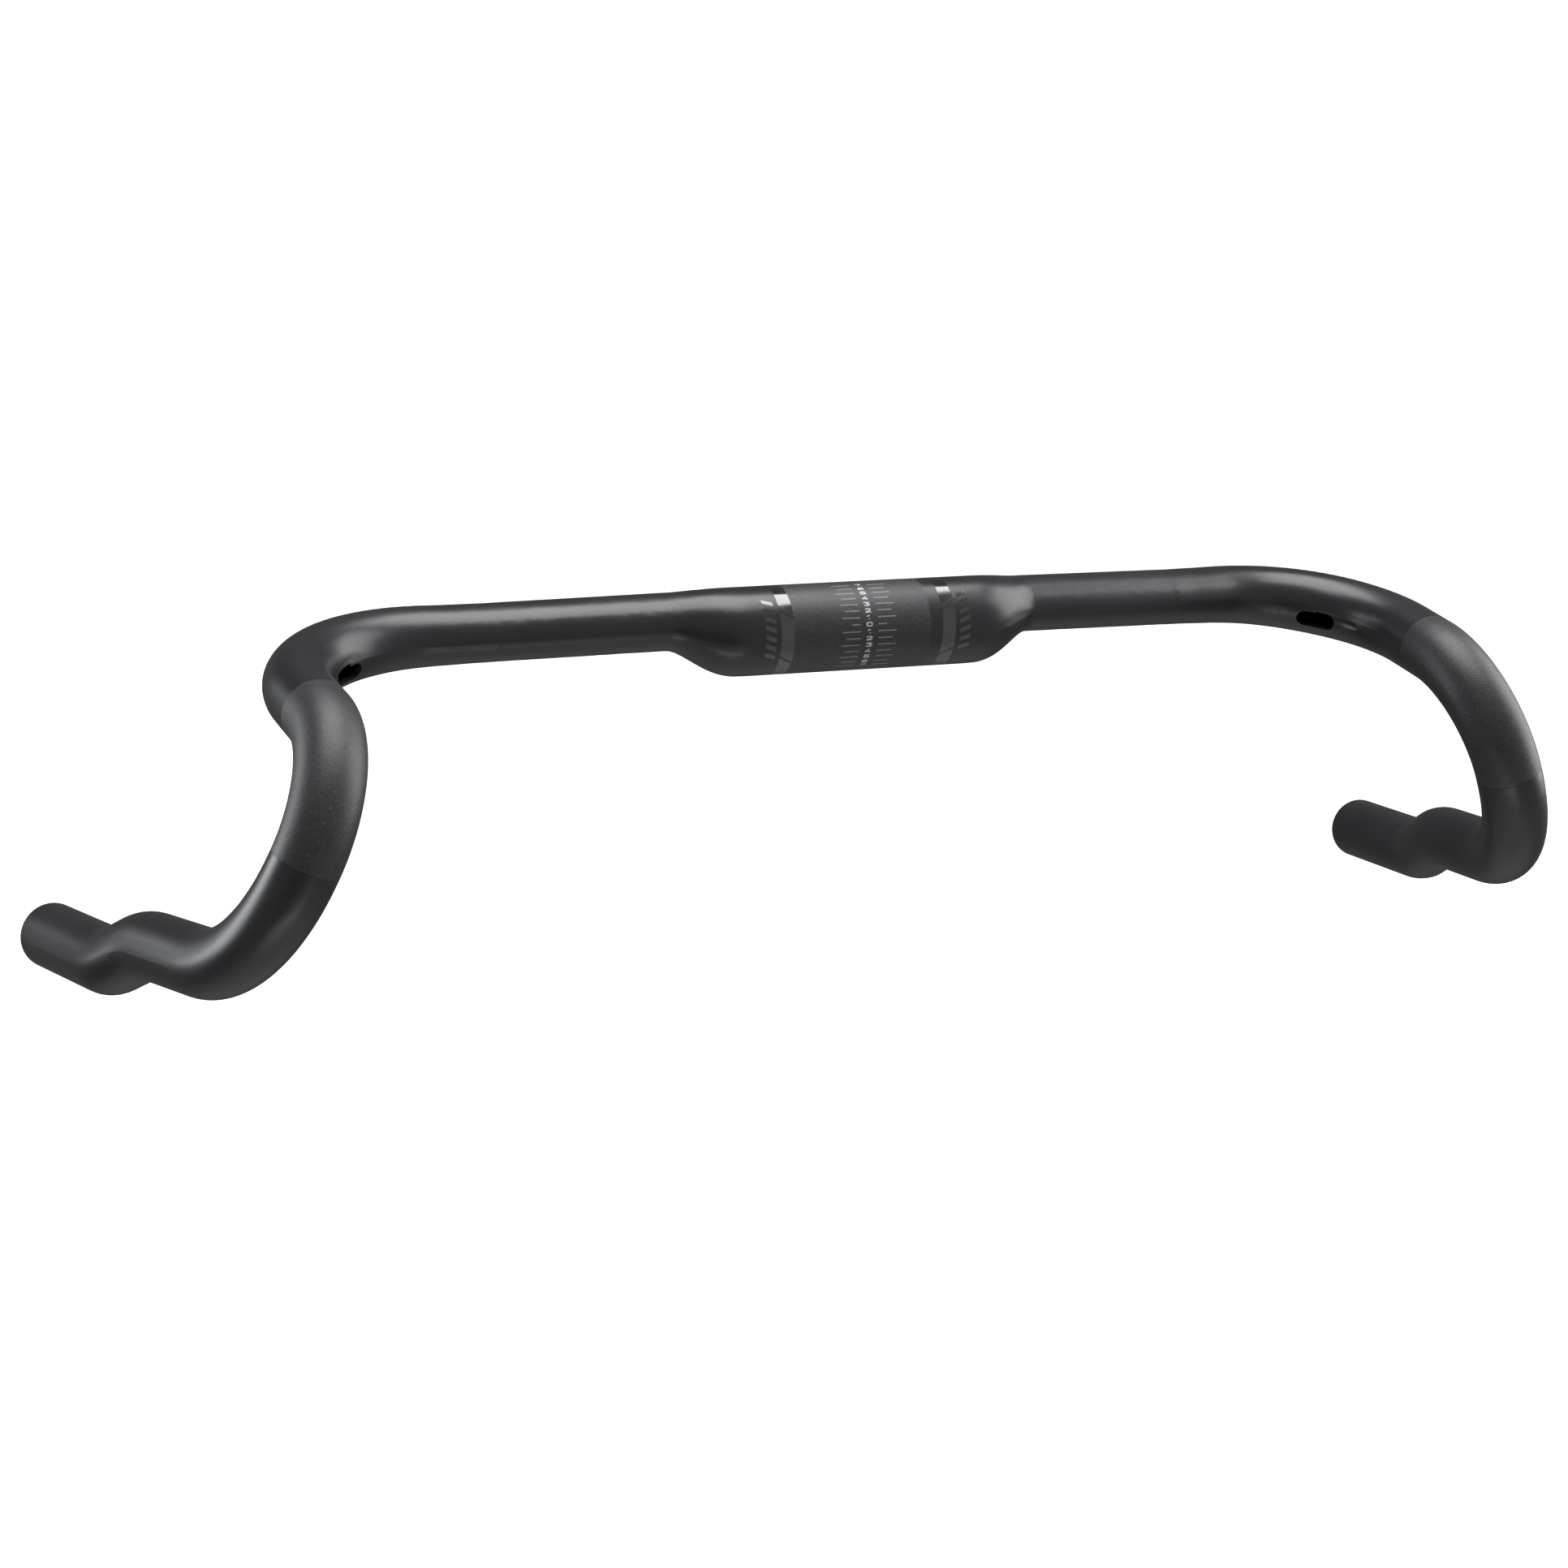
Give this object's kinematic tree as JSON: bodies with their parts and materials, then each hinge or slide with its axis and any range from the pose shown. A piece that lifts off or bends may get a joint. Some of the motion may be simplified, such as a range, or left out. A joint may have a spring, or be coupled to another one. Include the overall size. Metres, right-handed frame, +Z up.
{
  "type": "drop handlebar",
  "caption": "Flared carbon drop handlebar with round clamp bulge, flattened tops, cable ports, speckled lever zones and hooks that step down to open bar ends.",
  "frame": {"origin": "centre of the stem clamp zone, on its axis", "axes": "+X along the clamp axis to the side that is on the right seen from the front, +Y towards the rider, +Z up"},
  "size_m": [0.5664, 0.189, 0.1456],
  "materials": {
    "carbon_satin": "satin clear coat over carbon laminate",
    "grip_coating": "fine anti-slip coating",
    "gloss_black": "gloss lacquer",
    "scale_grey": "printed",
    "inner_laminate": "raw laminate, bonded",
    "port_rim": "moulded"
  },
  "bodies": {
    "root": {"centre_section": "carbon_satin", "clamp_grip_skin": "grip_coating", "clamp_inner_sleeve": "inner_laminate", "clamp_scale_numerals": "scale_grey", "clamp_scale_ticks": "scale_grey", "left_band_marks": "gloss_black", "left_drop": "carbon_satin", "left_entry_port_rim": "port_rim", "left_exit_port_rim": "port_rim", "left_gloss_band": "gloss_black", "left_joint_spigot": "inner_laminate", "left_lever_grip_skin": "grip_coating", "left_lever_scale": "scale_grey", "right_band_marks": "gloss_black", "right_drop": "carbon_satin", "right_entry_port_rim": "port_rim", "right_exit_port_rim": "port_rim", "right_gloss_band": "gloss_black", "right_joint_spigot": "inner_laminate", "right_lever_grip_skin": "grip_coating", "right_lever_scale": "scale_grey"}
  },
  "joints": []
}
